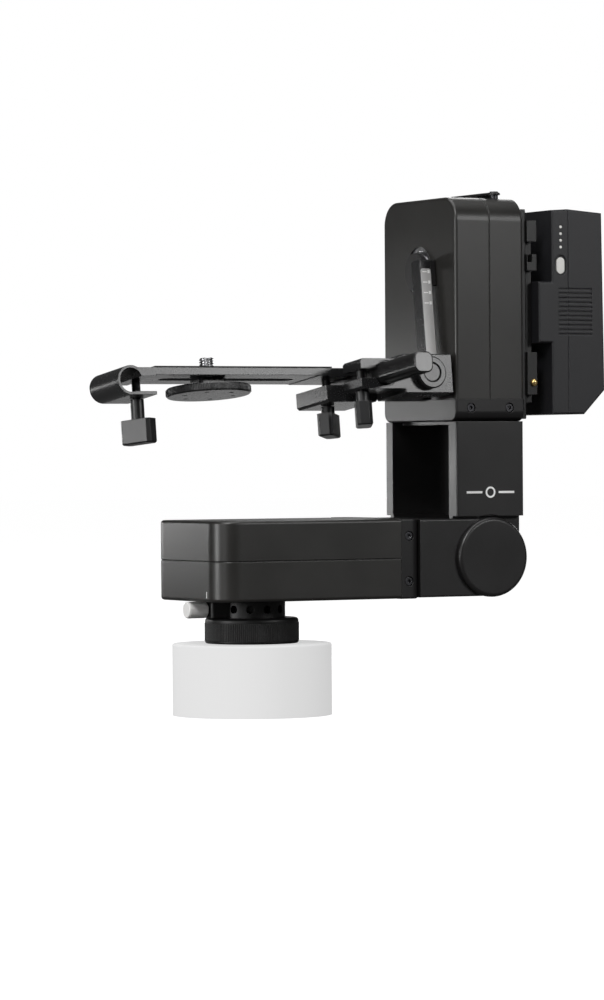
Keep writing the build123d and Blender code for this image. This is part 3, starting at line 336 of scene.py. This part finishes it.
def knurled_sleeve(name, radius, depth, low, high, teeth, finish, body, place=None, chamfer=0.5):
    """Ring of upright teeth round Z, standing proud of a turned surface. Sizes in mm."""
    def ring(height, root, tip):
        made = []
        for step in range(4 * teeth):
            angle = FULL_TURN * step / (4 * teeth)
            reach = tip if step % 4 in (1, 2) else root
            made.append((reach * math.cos(angle) * MM, reach * math.sin(angle) * MM, height * MM))
        return made
    sunk = radius - 0.6
    rings = [ring(low, sunk, sunk), ring(low, radius - 0.1, radius - 0.1),
             ring(low + chamfer, radius, radius + depth),
             ring(high - chamfer, radius, radius + depth),
             ring(high, radius - 0.1, radius - 0.1), ring(high, sunk, sunk)]
    corners, faces = ring_stack(rings)
    return mesh_piece(name, corners, faces, finish, body, place)


def threaded_rod(name, radius, pitch, low, high, finish, body, place=None, depth=0.6):
    """Rod round Z with a helical thread, closed at both ends. Sizes in mm."""
    around = 40
    per_turn = 10
    levels = int((high - low) / pitch * per_turn) + 1
    rings = []
    for level in range(levels + 1):
        height = low + (high - low) * level / levels
        ring = []
        for step in range(around):
            angle = FULL_TURN * step / around
            phase = (height / pitch - step / around) % 1.0
            reach = radius - depth * pitch * abs(2 * phase - 1)
            ring.append((reach * math.cos(angle) * MM, reach * math.sin(angle) * MM, height * MM))
        rings.append(ring)
    corners, faces = ring_stack(rings)
    faces = faces[:-around]
    faces.append(tuple(range(around)))
    faces.append(tuple(len(corners) - around + step for step in range(around)))
    return mesh_piece(name, corners, faces, finish, body, place)


def slab(x0, x1, y0, y1, z0, z1):
    """Corners and faces of a box, in mm."""
    corners = [(x * MM, y * MM, z * MM) for z in (z0, z1) for x, y in ((x0, y0), (x1, y0),
                                                                       (x1, y1), (x0, y1))]
    faces = [(0, 1, 2, 3), (4, 5, 6, 7), (0, 1, 5, 4), (1, 2, 6, 5), (2, 3, 7, 6), (3, 0, 4, 7)]
    return corners, faces


def marks_piece(name, slabs, body, place=None):
    """Several printed bars as one thin piece."""
    corners = []
    faces = []
    for bar in slabs:
        more, sides = slab(*bar)
        faces += [tuple(index + len(corners) for index in side) for side in sides]
        corners += more
    return mesh_piece(name, corners, faces, "marking_white", body, place)


def tilted(x=0.0, y=0.0, z=0.0):
    """Place in the camera support's tilted frame, in mm about the tilt axis."""
    turn = Matrix.Translation(TILT_AXIS) @ Matrix.Rotation(-TILT, 4, "X")
    return turn @ Matrix.Translation(Vector((x, y, z)) * MM)


# ---------------------------------------------------------------- knurls and threads

base_low, base_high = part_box("base_ring")
BASE_R = (base_high.x - base_low.x) / 2 / MM
BASE_TEETH = 150
knurled_sleeve("base_knurl", BASE_R, 0.32, 1.2, 13.2, BASE_TEETH, "base_black", "base")

thumb_low, thumb_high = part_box("clamp_thumbscrew")
THUMB_R = (thumb_high.z - thumb_low.z) / 2 / MM
thumb_place = Matrix.Translation(Vector((0, 0, (thumb_low.z + thumb_high.z) / 2)))
thumb_place = thumb_place @ Matrix.Rotation(-math.pi / 2, 4, "Y")
THUMB_TEETH = 44
knurled_sleeve("thumbscrew_knurl", THUMB_R, 0.22, 33.3, 45.2, THUMB_TEETH, "silver_metal",
               "clamp_screw", thumb_place, chamfer=0.4)

CAMERA_X = -28.0
CAMERA_Y = 12.5
WHEEL_R = 26.5
WHEEL_TEETH = 160
knurled_sleeve("wheel_knurl", WHEEL_R, 0.28, -77.7, -73.6, WHEEL_TEETH, "support_black",
               "camera_screw", tilted(CAMERA_X, CAMERA_Y), chamfer=0.4)

STUD_R = 4.74
STUD_PITCH = 1.5875
stud = threaded_rod("camera_stud_thread", STUD_R, STUD_PITCH, -78.0, -54.7, "shaft_steel",
                    "camera_screw", tilted(CAMERA_X, CAMERA_Y))
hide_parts("camera_screw")

LEFT_KNOB_X = -78.0
LEFT_SCREW_R = 2.85
LEFT_SCREW_PITCH = 0.8
threaded_rod("left_knob_thread", LEFT_SCREW_R, LEFT_SCREW_PITCH, -78.3, -69.1, "screw_steel",
             "plate_knob_left", tilted(LEFT_KNOB_X, CAMERA_Y), depth=0.5)

# ---------------------------------------------------------------- printed marks

POST_FRONT = -22.0
POST_X = (110.9, 118.1)
SCALE_TOP = -1.6
SCALE_LOW = -57.0
SCALE_CORNER = 1.4
SCALE_PROUD = 0.12
PRINT_THICK = 0.06
TICK_TOP = -4.0
TICK_STEP = 6.7
TICKS = 4


def scale_plate():
    """Thin light strip with rounded top corners on the post's front face."""
    outline = [(POST_X[0], SCALE_LOW), (POST_X[1], SCALE_LOW)]
    for centre_x, start in ((POST_X[1] - SCALE_CORNER, 0), (POST_X[0] + SCALE_CORNER, 90)):
        for step in range(7):
            angle = math.radians(start + 15 * step)
            outline.append((centre_x + SCALE_CORNER * math.cos(angle),
                            SCALE_TOP - SCALE_CORNER + SCALE_CORNER * math.sin(angle)))
    front = [(x * MM, (POST_FRONT - SCALE_PROUD) * MM, z * MM) for x, z in outline]
    back = [(x * MM, (POST_FRONT + 0.2) * MM, z * MM) for x, z in outline]
    count = len(outline)
    faces = [tuple(range(count)), tuple(range(count, 2 * count))]
    for step in range(count):
        following = (step + 1) % count
        faces.append((step, following, count + following, count + step))
    return mesh_piece("post_scale_plate", front + back, faces, "scale_grey", "tilt_output",
                      tilted())


def scale_bars():
    """A long tick and a short upright figure bar at each step of the scale."""
    plate_y = POST_FRONT - SCALE_PROUD
    depth = (plate_y - PRINT_THICK, plate_y + 0.05)
    bars = []
    for step in range(TICKS):
        height = TICK_TOP - TICK_STEP * step
        bars.append((112.0, 115.2, *depth, height, height + 0.7))
        bars.append((115.7, 117.3, *depth, height - 0.6, height + 1.4))
    return bars


scale_plate()
marks_piece("post_scale", scale_bars(), "tilt_output", tilted())

LINK_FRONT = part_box("tower_link")[0].y / MM
MARK_X = 147.5
MARK_Z = 93.1
MARK_PROUD = 0.08
MARK_SUNK = 0.3
MARK_RING_R = 3.6
MARK_HOLE_R = 2.4
MARK_BAR_NEAR = 6.0
MARK_BAR_FAR = 17.5
MARK_BAR_HALF = 0.7


def link_bars():
    """Level bar on each side of the ring mark, on the tower link's front."""
    bars = []
    for x0, x1 in ((MARK_X - MARK_BAR_FAR, MARK_X - MARK_BAR_NEAR),
                   (MARK_X + MARK_BAR_NEAR, MARK_X + MARK_BAR_FAR)):
        bars.append((x0, x1, LINK_FRONT - MARK_PROUD, LINK_FRONT + MARK_SUNK,
                     MARK_Z - MARK_BAR_HALF, MARK_Z + MARK_BAR_HALF))
    return bars


marks_piece("link_axis_mark", link_bars(), "tower")


def flat_ring(name, outer, inner, x, y, z, body):
    """Printed ring on a face that looks along -Y. Sizes in mm."""
    rings = []
    around = 48
    for radius, depth in ((inner, MARK_SUNK), (inner, -MARK_PROUD), (outer, -MARK_PROUD),
                          (outer, MARK_SUNK)):
        ring = []
        for step in range(around):
            angle = FULL_TURN * step / around
            ring.append(((x + radius * math.cos(angle)) * MM, (y + depth) * MM,
                         (z + radius * math.sin(angle)) * MM))
        rings.append(ring)
    corners, faces = ring_stack(rings)
    return mesh_piece(name, corners, faces, "marking_white", body)


flat_ring("link_ring_mark", MARK_RING_R, MARK_HOLE_R, MARK_X, LINK_FRONT, MARK_Z, "tower")

PAN_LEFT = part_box("pan_shell_lower")[0].x / MM
INDEX_Y = (-28.6, -27.8)
INDEX_Z = (29.5, 33.5)
index_line = (PAN_LEFT - PRINT_THICK, PAN_LEFT + MARK_SUNK, *INDEX_Y, *INDEX_Z)
marks_piece("pan_index", [index_line], "pan_arm")

# ---------------------------------------------------------------- studio


STAGE_PALE = (0.30, 0.30, 0.30)
STAGE_BOUNCE = (0.10, 0.10, 0.10)
FLOOR_DROP = 0.045
FLOOR_R = 14.0
FLOOR_THICK = 0.02
FLOOR_GLOW = 0.97
RISER_R = 0.050
RISER_GLOW = 0.52


def stage_paint(name, glow):
    """Pale paint that is bright to the eye but throws little light up at the object."""
    material = bpy.data.materials.new(name)
    material.use_nodes = True
    tree = material.node_tree
    shader = tree.nodes["Principled BSDF"]
    shader.inputs["Base Color"].default_value = (*STAGE_PALE, 1.0)
    shader.inputs["Roughness"].default_value = 0.7
    shader.inputs["Specular IOR Level"].default_value = 0.1
    shader.inputs["Emission Color"].default_value = (1, 1, 1, 1)
    shader.inputs["Emission Strength"].default_value = glow
    dull = place_node(tree, "ShaderNodeBsdfDiffuse", {"Color": (*STAGE_BOUNCE, 1.0)})
    eye = tree.nodes.new("ShaderNodeLightPath").outputs["Is Camera Ray"]
    mix = tree.nodes.new("ShaderNodeMixShader")
    tree.links.new(eye, mix.inputs["Fac"])
    tree.links.new(dull.outputs[0], mix.inputs[1])
    tree.links.new(shader.outputs[0], mix.inputs[2])
    tree.links.new(mix.outputs[0], tree.nodes["Material Output"].inputs["Surface"])
    return material


def stage_disc(name, radius, height, top, glow):
    """Round floor or riser under the object, with a softened upper rim."""
    shape = bmesh.new()
    bmesh.ops.create_cone(shape, cap_ends=True, segments=160, radius1=radius, radius2=radius,
                          depth=height, matrix=Matrix.Translation((0, 0, top - height / 2)))
    rim = [edge for edge in shape.edges if all(corner.co.z > top - 1e-6 for corner in edge.verts)]
    bmesh.ops.bevel(shape, geom=rim, offset=min(0.0012, height / 4), segments=3, profile=0.5,
                    affect="EDGES")
    mesh = bpy.data.meshes.new(name)
    shape.to_mesh(mesh)
    shape.free()
    disc = bpy.data.objects.new(name, mesh)
    bpy.context.scene.collection.objects.link(disc)
    disc.data.materials.append(stage_paint(name + "_paint", glow))


stage_disc("studio_floor", FLOOR_R, FLOOR_THICK, -FLOOR_DROP, FLOOR_GLOW)
stage_disc("studio_riser", RISER_R, FLOOR_DROP, 0.0, RISER_GLOW)


def soft_light(name, place, aim, size, power):
    """Rectangular softbox, in metres and watts, that the camera doesn't see directly."""
    data = bpy.data.lights.new(name, "AREA")
    data.shape = "RECTANGLE"
    data.size = size[0]
    data.size_y = size[1]
    data.energy = power
    lamp = bpy.data.objects.new(name, data)
    lamp.location = place
    lamp.rotation_euler = (Vector(aim) - Vector(place)).to_track_quat("-Z", "Y").to_euler()
    lamp.visible_camera = False
    bpy.context.scene.collection.objects.link(lamp)


CENTRE = (0.07, 0.0, 0.15)
soft_light("overhead_softbox", (0.0, 0.0, 1.7), CENTRE, (1.6, 1.6), 20)
soft_light("left_softbox", (-1.30, -0.90, 0.35), CENTRE, (0.6, 0.6), 3)
soft_light("camera_side_softbox", (-1.50, -1.75, 2.00), CENTRE, (0.8, 0.8), 42)
soft_light("left_card", (-1.50, 0.02, 0.20), (-0.1, -0.1, 0.16), (0.30, 0.30), 7.5)
soft_light("front_right_softbox", (0.96, -1.76, 0.72), (0.0, -0.03, 0.16), (0.62, 0.30), 8.8)
soft_light("link_edge_strip", (-0.26, 0.80, 0.105), (0.12, 0.0, 0.105), (0.30, 0.07), 0.75)
soft_light("back_right_softbox", (1.2, 1.0, 0.7), CENTRE, (0.9, 0.9), 10)


soft_light("floor_card", (0.37, 0.69, -0.035), (-0.03, 0.0, 0.155), (0.50, 0.40), 0.6)


AIR_LIGHT = 0.07


def studio_air():
    """White backdrop to the eye, with a dim even light from all round."""
    world = bpy.data.worlds.new("studio_air")
    world.use_nodes = True
    tree = world.node_tree
    dim = tree.nodes["Background"]
    dim.inputs["Color"].default_value = (1.0, 1.0, 1.0, 1.0)
    dim.inputs["Strength"].default_value = AIR_LIGHT
    white = place_node(tree, "ShaderNodeBackground", {"Color": (1, 1, 1, 1), "Strength": 1.0})
    eye = tree.nodes.new("ShaderNodeLightPath").outputs["Is Camera Ray"]
    mix = tree.nodes.new("ShaderNodeMixShader")
    tree.links.new(eye, mix.inputs["Fac"])
    tree.links.new(dim.outputs[0], mix.inputs[1])
    tree.links.new(white.outputs[0], mix.inputs[2])
    tree.links.new(mix.outputs[0], tree.nodes["World Output"].inputs["Surface"])
    return world


bpy.context.scene.world = studio_air()
bpy.context.scene.view_settings.view_transform = "Standard"


def make_camera():
    """Camera at its place, turned round Z, raised a little and rolled a little."""
    data = bpy.data.cameras.new("camera")
    data.lens = LENS_MM
    data.sensor_width = SENSOR_MM
    camera = bpy.data.objects.new("camera", data)
    turn = Matrix.Rotation(-CAMERA_TURN, 4, "Z")
    rise = Matrix.Rotation(math.pi / 2 + CAMERA_RISE, 4, "X")
    roll = Matrix.Rotation(-CAMERA_ROLL, 4, "Z")
    camera.matrix_world = Matrix.Translation(CAMERA_PLACE) @ (turn @ rise @ roll)
    bpy.context.scene.collection.objects.link(camera)
    return camera


bpy.context.scene.camera = make_camera()
